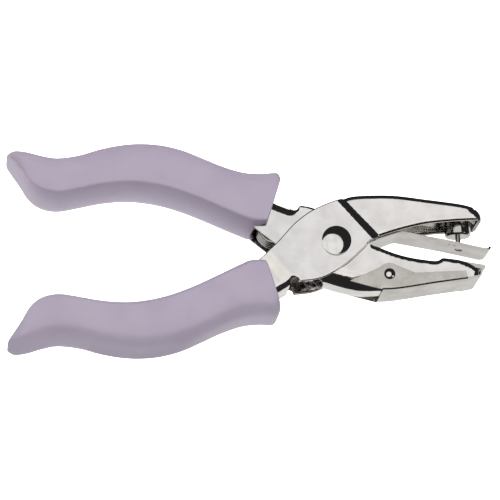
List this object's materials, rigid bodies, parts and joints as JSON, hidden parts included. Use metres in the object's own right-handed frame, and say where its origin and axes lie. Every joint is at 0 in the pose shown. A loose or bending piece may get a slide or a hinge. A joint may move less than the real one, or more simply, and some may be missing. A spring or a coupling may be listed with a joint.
{
  "type": "craft punch",
  "caption": "Plier-type hand punch for small round holes, with crossed pressed-steel levers, soft grips, a return spring, a stripper strip and a hinged chip tray.",
  "frame": {"origin": "centre of the bounding box's underside: the tool lies on its side on z = 0, the rivet's axis is vertical at x = +25.7 mm, y = +0.89 mm", "axes": "+X along the tool towards the jaws, +Y towards the upper jaw and the die lever's handle, +Z along the rivet"},
  "size_m": [0.1484, 0.065, 0.022],
  "materials": {
    "lever_steel": "bright nickel-chrome plate on pressed steel",
    "grip_vinyl": "soft satin lavender vinyl",
    "rivet_steel": "polished domed rivet",
    "plain_steel": "turned, bright plated",
    "spring_steel": "drawn wire",
    "tool_steel": "ground and hardened",
    "strip_steel": "satin plated strip",
    "tray_steel": "satin nickel plated sheet"
  },
  "bodies": {
    "punch_side": {"punch_lever": "lever_steel", "lower_grip": "grip_vinyl", "pivot_rivet": "rivet_steel", "pivot_washer": "rivet_steel", "pivot_sleeve": "plain_steel", "punch_holder": "plain_steel", "punch_pin": "tool_steel"},
    "die_side": {"die_lever": "lever_steel", "upper_grip": "grip_vinyl", "return_spring": "spring_steel", "die_plate": "strip_steel", "die_bush": "tool_steel", "tray_rivets": "rivet_steel"},
    "stripper": {"stripper_plate": "strip_steel"},
    "tray": {"chip_tray": "tray_steel"}
  },
  "joints": [
    {"name": "squeeze", "type": "hinge", "parent": "punch_side", "child": "die_side", "pos_m": [0.0257, 0.00089, 0.011], "axis": [0, 0, 1], "range_deg": [0, 9.6], "stiffness_Nm_per_rad": 2, "springref_deg": -14.32, "deforming": ["return_spring"]},
    {"name": "stripper_lift", "type": "hinge", "parent": "punch_side", "child": "stripper", "pos_m": [0.0257, 0.00089, 0.011], "axis": [0, 0, 1], "range_deg": [0, 4.2]},
    {"name": "tray_swing", "type": "hinge", "parent": "die_side", "child": "tray", "pos_m": [0.0418, -0.00936, 0.011], "axis": [0, 0, 1], "range_deg": [-15, 0]}
  ],
  "couplings": [
    {"joint": "stripper_lift", "follows": "squeeze", "ratio": 0.43}
  ]
}
